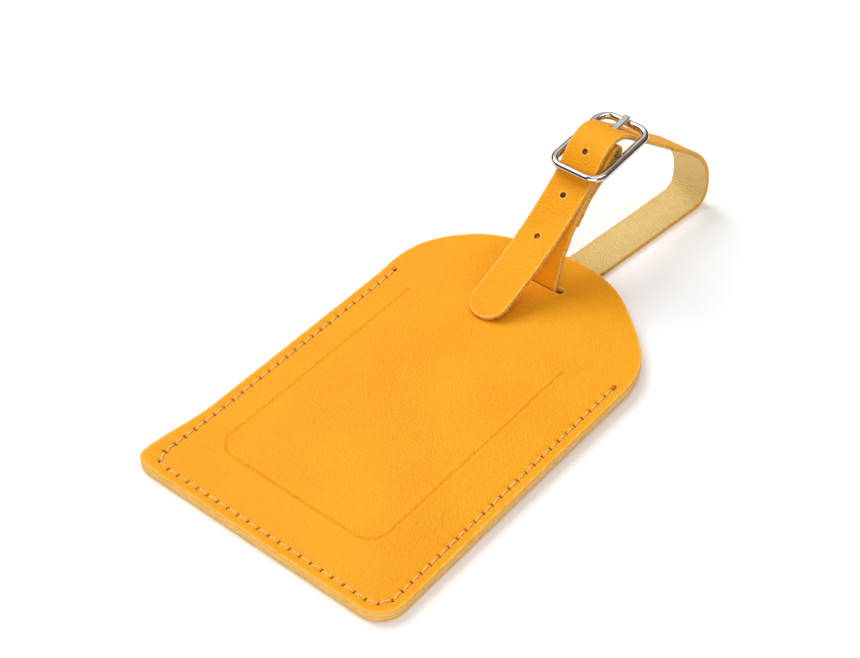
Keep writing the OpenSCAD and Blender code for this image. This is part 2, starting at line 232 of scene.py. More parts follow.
# Thread ends melted with a flame: a hard orange-red bead with a smooth, glassy skin.
melted, t, shader = blank("melted_thread_end", **{"Roughness": 0.3, "Coat Weight": 0.2})
place = add(t, "ShaderNodeAttribute", attribute_name="cut").outputs["Vector"]
burn = add(t, "ShaderNodeTexNoise", {"Vector": place, "Scale": 1.4, "Detail": 4.0}).outputs[0]
painted(t, shader, "#E0661C", [(burn, 0.35, 0.7, 0.0, 1.0, "#A93C0C")])
relief = add(t, "ShaderNodeBump", {"Height": burn, "Strength": 0.5, "Distance": 0.0002})
t.links.new(relief.outputs[0], shader.inputs["Normal"])


# Steel wire, polished and nickel plated: clear reflections, faint hairlines from the barrel.
HAZE = 2.5       # patches of slightly duller plating

nickel, t, shader = blank("polished_nickel_plate", **{"Metallic": 1.0})
place = add(t, "ShaderNodeAttribute", attribute_name="cut").outputs["Vector"]
drawn = add(t, "ShaderNodeVectorMath", {0: place, 1: (0.4, 7.0, 7.0)}, operation="MULTIPLY").outputs[0]
hair = add(t, "ShaderNodeTexNoise", {"Vector": drawn, "Scale": 1.0, "Detail": 5.0}).outputs[0]
haze = add(t, "ShaderNodeTexNoise", {"Vector": place, "Scale": 1 / HAZE, "Detail": 3.0}).outputs[0]
painted(t, shader, "#D8D1CA", [(haze, 0.35, 0.7, 0.0, 1.0, "#C2B9B0")])
polish = add(t, "ShaderNodeMapRange", {0: hair, 1: 0.3, 2: 0.7, 3: 0.06, 4: 0.17}, **EASED).outputs[0]
t.links.new(polish, shader.inputs["Roughness"])
relief = add(t, "ShaderNodeBump", {"Height": hair, "Strength": 0.04, "Distance": 0.00004})
t.links.new(relief.outputs[0], shader.inputs["Normal"])


# Calendered white card with printed lines to write on, facing the window.
LINE_PITCH, LINE_WIDTH, LINE_REACH, LINE_TOP = 14.0, 0.5, 20.0, 24.0

stock, t, shader = blank("white_card_stock", **{"Roughness": 0.55})
place = add(t, "ShaderNodeAttribute", attribute_name="cut").outputs["Vector"]
pulp = add(t, "ShaderNodeTexNoise", {"Vector": place, "Scale": 2.5, "Detail": 5.0}).outputs[0]
split = add(t, "ShaderNodeSeparateXYZ", {0: place})
phase = add(t, "ShaderNodeMath", {0: split.outputs["Y"], 1: LINE_PITCH}, operation="PINGPONG").outputs[0]
ruled = add(t, "ShaderNodeMath", {0: phase, 1: LINE_WIDTH}, operation="LESS_THAN").outputs[0]
across = add(t, "ShaderNodeMath", {0: split.outputs["X"]}, operation="ABSOLUTE").outputs[0]
across = add(t, "ShaderNodeMath", {0: across, 1: LINE_REACH}, operation="LESS_THAN").outputs[0]
along = add(t, "ShaderNodeMath", {0: split.outputs["Y"]}, operation="ABSOLUTE").outputs[0]
along = add(t, "ShaderNodeMath", {0: along, 1: LINE_TOP + LINE_PITCH}, operation="LESS_THAN").outputs[0]
ink = add(t, "ShaderNodeMath", {0: ruled, 1: across}, operation="MULTIPLY").outputs[0]
ink = add(t, "ShaderNodeMath", {0: ink, 1: along}, operation="MULTIPLY").outputs[0]
painted(t, shader, "#F5F2EA", [
    (pulp, 0.35, 0.7, 0.0, 1.0, "#ECE8DD"),
    (ink, 0.0, 1.0, 0.0, 1.0, "#8D8A86")])
relief = add(t, "ShaderNodeBump", {"Height": pulp, "Strength": 0.1, "Distance": 0.00005})
t.links.new(relief.outputs[0], shader.inputs["Normal"])


# Soft clear PVC film, calendered: see-through with a faint haze and shallow ripples.
RIPPLE = 9.0     # one ripple of the film

film, t, shader = blank("clear_pvc_film", **{"Base Color": srgb("#F4F7F6"), "Transmission Weight": 1.0,
                        "IOR": 1.53})
place = add(t, "ShaderNodeAttribute", attribute_name="cut").outputs["Vector"]
ripple = add(t, "ShaderNodeTexNoise", {"Vector": place, "Scale": 1 / RIPPLE, "Detail": 2.0}).outputs[0]
haze = add(t, "ShaderNodeMapRange", {0: ripple, 1: 0.3, 2: 0.7, 3: 0.04, 4: 0.1}, **EASED).outputs[0]
t.links.new(haze, shader.inputs["Roughness"])
relief = add(t, "ShaderNodeBump", {"Height": ripple, "Strength": 0.15, "Distance": 0.0004})
t.links.new(relief.outputs[0], shader.inputs["Normal"])


# Matt white studio paper, lit a trace from within so that it stays white under the lamps.
paper_sweep, t, shader = blank("white_paper_sweep", **{"Roughness": 0.8, "Specular IOR Level": 0.1,
                               "Emission Color": srgb("#FFFFFF"), "Emission Strength": 0.05})
wash = add(t, "ShaderNodeTexNoise", {"Scale": 3.0, "Detail": 2.0}).outputs[0]
painted(t, shader, "#FFFFFF", [(wash, 0.0, 1.0, 0.0, 1.0, "#FBFBFC")])


# ---------------------------------------------------------------- mesh making

def finish_piece(name, points, faces, material, body, slot, nodes, cut, rim=None, pit_shade=None):
    """Makes one piece from points in millimetres, parents it to the body it rides on, and hides the CAD nodes
    it stands for.
    """
    mesh = bpy.data.meshes.new(name)
    mesh.from_pydata([tuple(c * MM for c in p) for p in points], [], faces)
    mesh.validate()
    mesh.attributes.new("cut", "FLOAT_VECTOR", "POINT").data.foreach_set(
        "vector", np.array(cut, dtype=np.float32).ravel())
    for label, values in (("rim", rim), ("pit_shade", pit_shade)):
        if values is not None:
            mesh.attributes.new(label, "FLOAT", "POINT").data.foreach_set(
                "value", np.array(values, dtype=np.float32))
    mesh.polygons.foreach_set("use_smooth", [True] * len(mesh.polygons))
    mesh.materials.append(material)
    piece = bpy.data.objects.new(name, mesh)
    bpy.context.scene.collection.objects.link(piece)
    if body:
        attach(piece, body)
    if nodes:
        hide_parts(*nodes)
    return piece


def inside(loops, spots):
    """Which spots lie in the sheet: inside the outline and outside its holes."""
    count = np.zeros(len(spots), dtype=int)
    x, y = spots[:, 0], spots[:, 1]
    for loop in loops:
        a = np.array(loop)
        b = np.roll(a, -1, axis=0)
        for (ax, ay), (bx, by) in zip(a, b):
            if ay == by:
                continue
            crosses = (ay > y) != (by > y)
            count += crosses & (x < (bx - ax) * (y - ay) / (by - ay) + ax)
    return count % 2 == 1


def inset_loop(loop, depth):
    """The loop moved into the material, which lies on its left."""
    out = []
    for i, p in enumerate(loop):
        ahead, behind = loop[(i + 1) % len(loop)], loop[i - 1]
        along = Vector((ahead[0] - behind[0], ahead[1] - behind[1])).normalized()
        out.append((p[0] - along.y * depth, p[1] + along.x * depth))
    return out


def cut_sheet(name, loops, low, high, lay, step, extra=(), edge=0.12, ragged=0.0, shade_hole_walls=False,
              **finish):
    """A sheet cut from flat stock. loops are its outline and its holes, with the material on the
    left; lay(x, y, h) puts a point of the flat sheet in its place. Its cut edges are rounded by
    edge and roughened by ragged."""
    outer = np.array(loops[0])
    gx = np.arange(outer[:, 0].min(), outer[:, 0].max(), step)
    gy = np.arange(outer[:, 1].min(), outer[:, 1].max(), step * 0.866)
    grid = [(x + (step / 2 if j % 2 else 0), y) for j, y in enumerate(gy) for x in gx]
    fine = list(extra)
    rims = [inset_loop(loop, edge) for loop in loops]
    rim_points = [p for loop in rims for p in loop]
    near_rim = kdtree.KDTree(len(rim_points))
    for i, p in enumerate(rim_points):
        near_rim.insert((*p, 0), i)
    near_rim.balance()
    fine = [p for p in fine if near_rim.find((*p, 0))[2] > 0.12]
    busy = kdtree.KDTree(max(1, len(fine)))
    for i, p in enumerate(fine or [(1e6, 1e6)]):
        busy.insert((*p, 0), i)
    busy.balance()
    grid = [p for p in grid if near_rim.find((*p, 0))[2] > step * 0.45
            and busy.find((*p, 0))[2] > step * 0.55]
    free = np.array(fine + grid)
    free = free[inside(rims, free)]
    flat = [Vector(p) for p in rim_points] + [Vector(p) for p in free.tolist()]
    edges, start = [], 0
    for loop in rims:
        n = len(loop)
        edges += [(start + i, start + (i + 1) % n) for i in range(n)]
        start += n
    spots, _, tris, origins, _, _ = delaunay_2d_cdt(flat, edges, [], 1, 1e-5)
    spots = np.array([tuple(p) for p in spots])
    index = {source: i for i, sources in enumerate(origins) for source in sources}
    middles = np.array([spots[list(f)].mean(axis=0) for f in tris])
    keep = inside(rims, middles)
    tris = [f if np.cross(spots[f[1]] - spots[f[0]], spots[f[2]] - spots[f[0]]) > 0 else f[::-1]
            for f, k in zip(tris, keep) if k]
    count = len(spots)
    near = [near_rim.find((*p, 0))[2] for p in spots]
    cut = [(x, y, high) for x, y in spots] + [(x, y, low) for x, y in spots]
    rim = [max(0.0, 1 - d / 0.9) for d in near] * 2
    pit_shade = [0.0] * (2 * count)
    faces = [tuple(f) for f in tris] + [tuple(i + count for i in reversed(f)) for f in tris]
    wall = [(0.35, 0.05), (0.05, 0.35), (0.0, 1.0)]
    tall = high - low
    heights = [high - b * edge for a, b in wall] + [high - tall / 2] + [low + b * edge for a, b in wall[::-1]]
    depths = [a * edge for a, b in wall] + [0.0] + [a * edge for a, b in wall[::-1]]
    start = 0
    for which, loop in enumerate(loops):
        n = len(loop)
        ring = [index[start + i] for i in range(n)]
        for k, (depth, height) in enumerate(zip(depths, heights)):
            base = len(cut)
            rough = ragged * (1.0 if 0 < k < len(heights) - 1 else 0.4)
            for i, (x, y) in enumerate(inset_loop(loop, depth)):
                push = rough * noise.noise(Vector((x * 2.3, y * 2.3, height * 3.0 + which)))
                push += 0.6 * rough * rng.uniform(-1, 1)
                along = Vector((loop[(i + 1) % n][0] - loop[i - 1][0], loop[(i + 1) % n][1] - loop[i - 1][1]))
                along.normalize()
                cut.append((x + along.y * push, y - along.x * push, height))
                rim.append(1.0)
                # painted shade on the walls of punched holes
                pit_shade.append(0.6 if shade_hole_walls and which else 0.0)
            following = list(range(base, base + n))
            faces += [(ring[i], following[i], following[(i + 1) % n], ring[(i + 1) % n]) for i in range(n)]
            ring = following
        last = [index[start + i] + count for i in range(n)]
        faces += [(ring[i], last[i], last[(i + 1) % n], ring[(i + 1) % n]) for i in range(n)]
        start += n
    points, pit_shades = [], []
    # lay may give a fourth value, the painted shade at that point
    for (x, y, h), dark in zip(cut, pit_shade):
        p = lay(x, y, h)
        points.append(p[:3])
        pit_shades.append(max(dark, p[3] if len(p) > 3 else 0.0))
    return finish_piece(name, points, faces, cut=cut, rim=rim, pit_shade=pit_shades, **finish)


def resampled(points, step):
    """A closed run of points, evenly spaced."""
    closed = points + [points[0]]
    out, travelled, wanted = [], 0.0, 0.0
    total = sum(math.dist(a, b) for a, b in zip(closed, closed[1:]))
    pace = total / round(total / step)
    for a, b in zip(closed, closed[1:]):
        length = math.dist(a, b)
        while wanted <= travelled + length - 1e-6 and length > 0:
            f = (wanted - travelled) / length
            out.append((a[0] + (b[0] - a[0]) * f, a[1] + (b[1] - a[1]) * f))
            wanted += pace
        travelled += length
    return out


def arc(cx, cy, radius, start, end, n=24):
    return [(cx + radius * math.cos(math.radians(start + (end - start) * i / n)),
             cy + radius * math.sin(math.radians(start + (end - start) * i / n))) for i in range(n + 1)]


def rounded_loop(cx, low_y, width, height, radius, step):
    x0, x1, y0, y1 = cx - width / 2, cx + width / 2, low_y, low_y + height
    corners = arc(x1 - radius, y0 + radius, radius, -90, 0) + arc(x1 - radius, y1 - radius, radius, 0, 90) \
        + arc(x0 + radius, y1 - radius, radius, 90, 180) + arc(x0 + radius, y0 + radius, radius, 180, 270)
    return resampled(corners, step)


# ---------------------------------------------------------------- the two panels

CORNER_LEFT, CORNER_RIGHT, SHOULDER, DOME_RISE = 3.4, 6.8, 25.0, 29.4
POCKET_X = (card_low.x + card_high.x) / 2
SLOT_LONG, SLOT_GAP = 13.4, 2.0
WINDOW = (46.0, 73.0, 13.7, 5.3)     # width, height, distance from the foot, corner radius
LINE_RISE = WINDOW[1] - WINDOW[3]    # height at which the pressed line stops
SEAM_X, SEAM_Y = HALF_W - 2.5, Y_FOOT + 2.5
PITCH, THREAD, SIDE_STITCHES = 3.0, 0.27, 27
SEAM_TOP = SEAM_Y + SIDE_STITCHES * PITCH

shoulder_x = HALF_W - SHOULDER
y_shoulder = Y_HEAD - DOME_RISE
crown = (shoulder_x ** 2 + DOME_RISE ** 2 - SHOULDER ** 2) / (2 * (DOME_RISE - SHOULDER))
crown_turn = math.degrees(math.atan2(shoulder_x, y_shoulder - (Y_HEAD - crown)))
outline = arc(HALF_W - CORNER_RIGHT, Y_FOOT + CORNER_RIGHT, CORNER_RIGHT, -90, 0)
outline += arc(shoulder_x, y_shoulder, SHOULDER, 0, 90 - crown_turn)
outline += arc(0, Y_HEAD - crown, crown, 90 - crown_turn, 90 + crown_turn, 60)
outline += arc(-shoulder_x, y_shoulder, SHOULDER, 90 + crown_turn, 180)
outline += arc(-HALF_W + CORNER_LEFT, Y_FOOT + CORNER_LEFT, CORNER_LEFT, 180, 270)
outline = resampled(outline, 0.55)
slot_reach = (SLOT_LONG - SLOT_GAP) / 2
slot_loop = arc(POCKET_X + slot_reach, 0, SLOT_GAP / 2, -90, 90) \
    + arc(POCKET_X - slot_reach, 0, SLOT_GAP / 2, 90, 270)
slot_loop = resampled(slot_loop, 0.4)[::-1]
window_loop = rounded_loop(POCKET_X, Y_FOOT + WINDOW[2], WINDOW[0], WINDOW[1], WINDOW[3], 0.6)[::-1]


def open_run(points, step):
    """Points evenly spaced along an open run, from its first point to its last."""
    along = np.concatenate([[0], np.cumsum([math.dist(a, b) for a, b in zip(points, points[1:])])])
    marks = np.linspace(0, along[-1], round(along[-1] / step) + 1)
    return [(float(np.interp(m, along, [p[0] for p in points])),
             float(np.interp(m, along, [p[1] for p in points]))) for m in marks]


# the seam runs down one side, round the foot and up the other
TURN_LEFT, TURN_RIGHT = 2.2, 4.4
seam_line = [(-SEAM_X, SEAM_TOP)]
seam_line += arc(-SEAM_X + TURN_LEFT, SEAM_Y + TURN_LEFT, TURN_LEFT, 180, 270)
seam_line += arc(SEAM_X - TURN_RIGHT, SEAM_Y + TURN_RIGHT, TURN_RIGHT, -90, 0)
seam_line.append((SEAM_X, SEAM_TOP))
needle_holes = open_run(seam_line, PITCH)
hole_tree = kdtree.KDTree(len(needle_holes))
for i, (x, y) in enumerate(needle_holes):
    hole_tree.insert((x, y, 0), i)
hole_tree.balance()
seam_marks = open_run(seam_line, 0.25)
seam_tree = kdtree.KDTree(len(seam_marks))
for i, (x, y) in enumerate(seam_marks):
    seam_tree.insert((x, y, 0), i)
seam_tree.balance()


def smooth(value):
    value = min(1.0, max(0.0, value))
    return value * value * (3 - 2 * value)


def seam_distance(x, y):
    """Distance from the sewn line."""
    return seam_tree.find((x, y, 0))[2]


FOOT_GAP = 0.2    # room for the stitches under the foot


def rest_drop(y):
    """The tag leans from the strap under its slot down to its foot on the floor."""
    return (FLOOR_Z + FOOT_GAP) * max(0.0, y / Y_FOOT)


def head_lift(x, y):
    """The unsewn dome curls up a little at its left shoulder."""
    return 1.5 * smooth((-x - 4) / 26) * smooth((y + 26) / 22)


def pocket_lift(x, y):
    """How far the front stands off the back between the seams, around the card."""
    within = smooth(min(SEAM_X - abs(x), y - SEAM_Y) / 13)
    by_slot = 1 - 0.9 * math.exp(-((x - POCKET_X) ** 2 / 160 + y * y / 90))
    wave = noise.noise(Vector((x / 24 + 3.1, y / 42, 0.4)))
    return within * by_slot * (0.55 + 0.5 * wave)


def trimmed(x, y):
    """The panels were cut by eye: wide at the left of the foot, and flatter at the right shoulder."""
    wide = smooth((-31.2 - x) / 3.8) * smooth((-80 - y) / 19)
    flat = smooth(1 - math.hypot(x - 23, y + 1) / 17) * smooth((x + y - 4) / 14)
    return x - 2.1 * wide - 0.85 * flat, y - 0.3 * wide - 1.1 * flat


def needle_pit(x, y):
    """Depth of the nearest needle hole, and the painted shade in it."""
    near = hole_tree.find((x, y, 0))[2]
    return 1 - smooth((near - 0.18) / 0.44)


def pressed_line(x, y):
    """Strength of the line pressed round the pocket, open at the top."""
    w, h, foot, r = WINDOW
    cy = Y_FOOT + foot + h / 2
    qx, qy = abs(x - POCKET_X) - (w / 2 - r), abs(y - cy) - (h / 2 - r)
    d = math.hypot(max(qx, 0), max(qy, 0)) + min(max(qx, qy), 0) - r
    end = smooth((Y_FOOT + foot + LINE_RISE - y) / 1.5)
    groove = math.exp(-(d / 0.17) ** 2)
    shoulder = 0.3 * math.exp(-((abs(d) - 0.6) / 0.3) ** 2)
    return end * (groove - shoulder)


def on_front_skin(x, y, h):
    z = h + rest_drop(y) + head_lift(x, y) + pocket_lift(x, y)
    dark = 0.0
    if h > Z_TOP - 0.3:
        # painted shade in the needle hole, as strong as the hole is deep
        dark = needle_pit(x, y)
        d = seam_distance(x, y)
        line = pressed_line(x, y)
        z -= 0.42 * dark + 0.12 * math.exp(-(d / 0.75) ** 2) + 0.3 * line
        # painted shade along the pressed groove, broken up by noise
        dark = max(dark, line * (0.2 + 0.3 * noise.noise(Vector((x * 0.9, y * 0.9, 7.0)))))
        z -= 0.05 * math.exp(-((d - 2.2) / 0.6) ** 2) * smooth((y - SEAM_TOP) / 2)
    return *trimmed(x, y), z, dark


def on_back_skin(x, y, h):
    z = h + rest_drop(y) + head_lift(x, y)
    dark = 0.0
    if h < 0.3:
        # painted shade in the needle hole on the back
        dark = needle_pit(x, y)
        z += 0.42 * dark + 0.12 * math.exp(-(seam_distance(x, y) / 0.75) ** 2)
    return *trimmed(x, y), z, dark


FRONT_ROOM, BACK_ROOM = 0.65, 0.6    # the linings thinned inside the pocket, so the card runs free


def in_pocket(x, y):
    """1 where the card and the window sheet lie between the linings."""
    sides = smooth((card_high.x + 1.5 - POCKET_X - abs(x - POCKET_X)) / 1.0)
    return sides * smooth((y - card_low.y + 1.5) / 1.0) * smooth((card_high.y + 12.5 - y) / 1.5)


def on_front_lining(x, y, h):
    z = h + rest_drop(y) + head_lift(x, y) + pocket_lift(x, y)
    if h < Z_MIDDLE + 0.3:
        z += FRONT_ROOM * in_pocket(x, y)
    return *trimmed(x, y), z


def on_back_lining(x, y, h):
    z = h + rest_drop(y) + head_lift(x, y)
    if h > Z_MIDDLE - 0.3:
        z -= BACK_ROOM * in_pocket(x, y)
    return *trimmed(x, y), z


# points that follow what is sewn and pressed, so the mesh is fine where the surface is
dimples = []
for hx, hy in needle_holes:
    dimples.append((hx, hy))
    for radius, n in ((0.2, 6), (0.4, 9), (0.62, 10)):
        dimples += [(hx + radius * math.cos(2 * math.pi * i / n), hy + radius * math.sin(2 * math.pi * i / n))
                    for i in range(n)]
for (ax, ay), (bx, by) in zip(needle_holes, needle_holes[1:]):
    long = math.dist((ax, ay), (bx, by))
    for part in (0.33, 0.5, 0.67):
        for off in (-0.5, 0.0, 0.5):
            dimples.append((ax + (bx - ax) * part - (by - ay) / long * off,
                            ay + (by - ay) * part + (bx - ax) / long * off))
pressed = []
for depth in (-0.75, -0.4, -0.2, -0.09, 0.0, 0.09, 0.2, 0.4, 0.75):
    run = rounded_loop(POCKET_X, Y_FOOT + WINDOW[2] - depth, WINDOW[0] + 2 * depth, WINDOW[1] + 2 * depth,
                       WINDOW[3] + depth, 0.5)
    pressed += [p for p in run if p[1] < Y_FOOT + WINDOW[2] + LINE_RISE + 1]

PANEL_STEP = 1.0
skin_finish = {"material": leather, "slot": "coated_leather"}
cloth_finish = {"material": lining_cloth, "slot": "woven_backing"}
cut_sheet("front_panel_skin", [outline, slot_loop], Z_FRONT_SKIN, Z_TOP, on_front_skin, PANEL_STEP,
          extra=dimples + pressed, edge=0.16, ragged=0.03, body="tag", nodes=["front_skin"], **skin_finish)
cut_sheet("back_panel_skin", [outline, slot_loop, window_loop], 0.0, Z_BACK_LINING, on_back_skin,
          PANEL_STEP, extra=dimples, edge=0.16, ragged=0.03, body="tag", nodes=["back_skin"], **skin_finish)
cut_sheet("front_panel_lining", [outline, slot_loop], Z_MIDDLE + 0.04, Z_FRONT_SKIN, on_front_lining,
          PANEL_STEP * 1.3, edge=0.1, ragged=0.16, body="tag", nodes=["front_lining"], **cloth_finish)
cut_sheet("back_panel_lining", [outline, slot_loop, window_loop], Z_BACK_LINING, Z_MIDDLE - 0.04,
          on_back_lining, PANEL_STEP * 1.3, edge=0.1, ragged=0.16, body="tag", nodes=["back_lining"],
          **cloth_finish)

film_loop = rounded_loop(POCKET_X, sheet_low.y, sheet_high.x - sheet_low.x, sheet_high.y - sheet_low.y,
                         WINDOW[3] + 3.2, 0.8)
cut_sheet("window_film", [film_loop], sheet_low.z + 0.02, sheet_high.z,
          lambda x, y, h: (x, y, h + rest_drop(y)), 4.0, edge=0.05, material=film, body="tag",
          slot="clear_window", nodes=["window_sheet"])

card_mid = (card_low + card_high) / 2
card_loop = rounded_loop(0, card_low.y - card_mid.y, card_high.x - card_low.x, card_high.y - card_low.y,
                         3.0, 0.8)


CARD_RAISED = 0.13    # the card lies clear of the window sheet
CARD_HALFWAY = 3.5    # its curl suits both ends of its slide


def on_card(x, y, h):
    """The card lies over the window sheet, and curls with the dome that its top corner reaches under."""
    x, y = x + card_mid.x, y + card_mid.y
    return x, y, h + CARD_RAISED + rest_drop(y) + head_lift(x, y + CARD_HALFWAY)


cut_sheet("paper_name_card", [card_loop], card_low.z, card_high.z,
          on_card, 4.0, edge=0.05, material=stock, body="card", slot="card", nodes=["name_card"])


# ---------------------------------------------------------------- thread

def tube(path, radii, sides, twist=0.0, ply=0.0):
    """Points and faces of a tube along a path; ply presses two plies into it, twisted along it."""
    points, faces, cut = [], [], []
    up = Vector((0, 0, 1)) if abs((path[1] - path[0]).normalized().z) < 0.9 else Vector((1, 0, 0))
    run = 0.0
    for i, p in enumerate(path):
        ahead = (path[min(i + 1, len(path) - 1)] - path[max(i - 1, 0)]).normalized()
        side = ahead.cross(up).normalized()
        up = side.cross(ahead).normalized()
        run += (p - path[i - 1]).length if i else 0.0
        for k in range(sides):
            a = 2 * math.pi * k / sides
            r = radii[i] * (1 + ply * math.cos(2 * a - twist * run))
            points.append(p + (side * math.cos(a) + up * math.sin(a)) * r)
            cut.append((run, a * radii[i], 0.0))
    for i in range(len(path) - 1):
        for k in range(sides):
            a, b = i * sides + k, i * sides + (k + 1) % sides
            faces.append((a, b, b + sides, a + sides))
    faces.append(tuple(reversed(range(sides))))
    faces.append(tuple(range((len(path) - 1) * sides, len(path) * sides)))
    return points, faces, cut


def joined(parts):
    points, faces, cut = [], [], []
    for p, f, c in parts:
        faces += [tuple(i + len(points) for i in face) for face in f]
        points += p
        cut += c
    return points, faces, cut


def one_stitch(start, end, out, sunk=0.0, radius=THREAD):
    """A stitch from hole to hole: it dips in at both ends and lies proud in its middle."""
    path, radii, n = [], [], 14
    for i in range(n + 1):
        f = i / n
        rise = math.sin(math.pi * f) ** 0.45
        path.append(start.lerp(end, f) + out * (-0.42 - sunk + 0.46 * rise))
        radii.append(radius * (0.78 + 0.22 * rise))
    return tube(path, radii, 10, twist=5.2, ply=0.12)


FOOT_SUNK, SIDE_SUNK = 0.17, 0.05    # the stitches along the foot lie deepest


def seam_thread(name, height, up, node):
    """The stitches of one face of the seam, each a little askew as a lockstitch lies."""
    parts = []
    for (ax, ay), (bx, by) in zip(needle_holes, needle_holes[1:]):
        a = Vector((*trimmed(ax, ay), height(ax, ay)))
        b = Vector((*trimmed(bx, by), height(bx, by)))
        along = (b - a).normalized()
        aside = Vector((0, 0, 1)).cross(along) * 0.1
        slack = rng.uniform(0.16, 0.26)
        sunk = FOOT_SUNK if abs(along.x) > 0.7 else SIDE_SUNK
        a, b = a + along * slack - aside, b - along * slack + aside
        parts.append(one_stitch(a, b, Vector((0, 0, up)), sunk))
    points, faces, cut = joined(parts)
    finish_piece(name, points, faces, thread, "tag", "sewing_thread", [node], cut)


def front_level(x, y):
    return Z_TOP + rest_drop(y) + head_lift(x, y) + pocket_lift(x, y)


seam_thread("front_seam_thread", front_level, 1, "needle_thread")
seam_thread("back_seam_thread", lambda x, y: rest_drop(y) + head_lift(x, y), -1, "bobbin_thread")


def bead(x, y, z, wide, tall, seed):
    """A lumpy bead of melted thread, flat where it sits."""
    points, faces, cut = [], [], []
    rows, turns = 8, 16
    for j in range(rows + 1):
        a = math.pi / 2 * j / rows
        for k in range(turns):
            b = 2 * math.pi * k / turns
            d = Vector((math.cos(a) * math.cos(b), math.cos(a) * math.sin(b), math.sin(a)))
            r = 1 + 0.35 * noise.noise(d * 1.7 + Vector((seed, 0, 0)))
            points.append(Vector((x + d.x * wide * r, y + d.y * wide * r * 1.3, z + d.z * tall * r)))
            cut.append(tuple(d * wide))
    for j in range(rows):
        for k in range(turns):
            a, b = j * turns + k, j * turns + (k + 1) % turns
            faces.append((a, b, b + turns, a + turns))
    faces.append(tuple(reversed(range(turns))))
    faces.append(tuple(range(rows * turns, (rows + 1) * turns)))
    return points, faces, cut


tacks = []
for s, wide in ((-1, 0.42), (1, 0.62)):
    top = front_level(s * SEAM_X, SEAM_TOP) - 0.12
    tacks.append(bead(s * SEAM_X, SEAM_TOP + 0.3, top, wide, 0.42, s * 3.0))
    tacks.append(bead(s * SEAM_X - 0.3, SEAM_TOP - 0.45, top, wide * 0.55, 0.3, s * 5.0))
points, faces, cut = joined(tacks)
finish_piece("melted_thread_beads", points, faces, melted, "tag", "melted_thread", ["seam_tacks"], cut)


# ---------------------------------------------------------------- strap

STRAP_W, STRAP_T = 10.0, 1.2
BAR = Vector((-3.0, (bar_low.y + bar_high.y) / 2, (bar_low.z + bar_high.z) / 2))
WRAP = 1.0 + 0.05 + STRAP_T / 2
GROUND = -Z_TOP - 0.1 - STRAP_T / 2

# corners of the strap's middle line: x, y from the slot, z from the front face, and the cut of the corner
FLAP = [(-3.0, 8.1, 13.9, 0), (-3.0, 13.2, 20.0, 3)]
FIXED = [(-3.0, 12.5, 21.2, 4), (-2.9, 3.9, 11.3, 7), (-2.4, 0, 1.2, 1.1), (-2.4, 0, GROUND, 1.6)]
LOOP = [(0.6, Y_HEAD, GROUND, 7), (4.7, 55.9, GROUND, 4.8), (4.7, 55.9, 10.4, 8.6), (-2.8, 34.2, 24.9, 3)]
TONGUE = [(-2.8, 20.9, 34.3, 8.2), (-3.0, 12.1, 22.9, 2.5), (-4.0, -1.1, 11.3, 10), (-5.7, -20.3, 0.7, 0)]


def placed(c):
    return Vector((c[0], c[1], c[2] + Z_TOP))


def rounded_leg(before, corner, after, n=30):
    """Points along one rounded corner of the route."""
    c = placed(corner)
    a = c + corner[3] * (before - c).normalized()
    b = c + corner[3] * (after - c).normalized()
    return [(1 - t) ** 2 * a + 2 * t * (1 - t) * c + t * t * b for t in (i / n for i in range(n + 1))]


def touching_angle(corner, side):
    """Heading from a route corner to the strap's wrap on the centre bar, in degrees."""
    v = BAR - placed(corner)
    reach = math.hypot(v.y, v.z)
    return math.degrees(math.atan2(v.z, v.y) + side * math.asin(WRAP / reach))


wrap_start = touching_angle(FLAP[1], -1) - 90
wrap_end = touching_angle(FIXED[0], 1) + 90
wrap = [BAR + WRAP * Vector((0, math.cos(math.radians(a)), math.sin(math.radians(a))))
        for a in np.linspace(wrap_start, wrap_end, 40)]
legs = FIXED + LOOP + TONGUE
route = [placed(FLAP[0])] + rounded_leg(placed(FLAP[0]), FLAP[1], wrap[0]) + wrap
before = wrap[-1]
for corner, following in zip(legs, legs[1:]):
    route += rounded_leg(before, corner, placed(following))
    before = placed(corner)
route.append(placed(legs[-1]))

RUN = 0.2   # spacing of the points kept along the strap
lengths = np.concatenate([[0], np.cumsum([(b - a).length for a, b in zip(route, route[1:])])])
marks = np.arange(0, lengths[-1], RUN)
middle = np.array([[np.interp(m, lengths, [p[k] for p in route]) for k in range(3)] for m in marks])
for _ in range(3):
    middle[1:-1] = (middle[:-2] + 2 * middle[1:-1] + middle[2:]) / 4
lengths = np.concatenate([[0], np.cumsum(np.linalg.norm(np.diff(middle, axis=0), axis=1))])
heading = np.gradient(middle, axis=0)
outward = np.stack([np.zeros(len(marks)), heading[:, 2], -heading[:, 1]], axis=1)
outward /= np.linalg.norm(outward, axis=1)[:, None]
TOTAL = lengths[-1]


def run_to(target, low=0.0, high=1e9):
    """Distance along the strap of its closest point to a place."""
    allowed = (lengths >= low) & (lengths <= high)
    far = np.linalg.norm(middle - np.array(tuple(target)), axis=1)
    return lengths[np.argmin(np.where(allowed, far, 1e9))]


def on_strap(u, s, h):
    p = [np.interp(s, lengths, middle[:, k]) for k in range(3)]
    n = [np.interp(s, lengths, outward[:, k]) for k in range(3)]
    cup = 0.02 * (u / STRAP_W * 2) ** 2      # the coated face pulls the strap's edges up a trace
    return p[0] + u, p[1] + n[1] * (h + cup), p[2] + n[2] * (h + cup)


slot_run = run_to((-2.4, 0, Z_MIDDLE))
far_run = run_to(placed(LOOP[3]), low=slot_run)
crest_run = run_to(placed(TONGUE[0]), low=far_run)
fold_run = run_to(BAR + Vector((0, 0, WRAP)), high=slot_run)


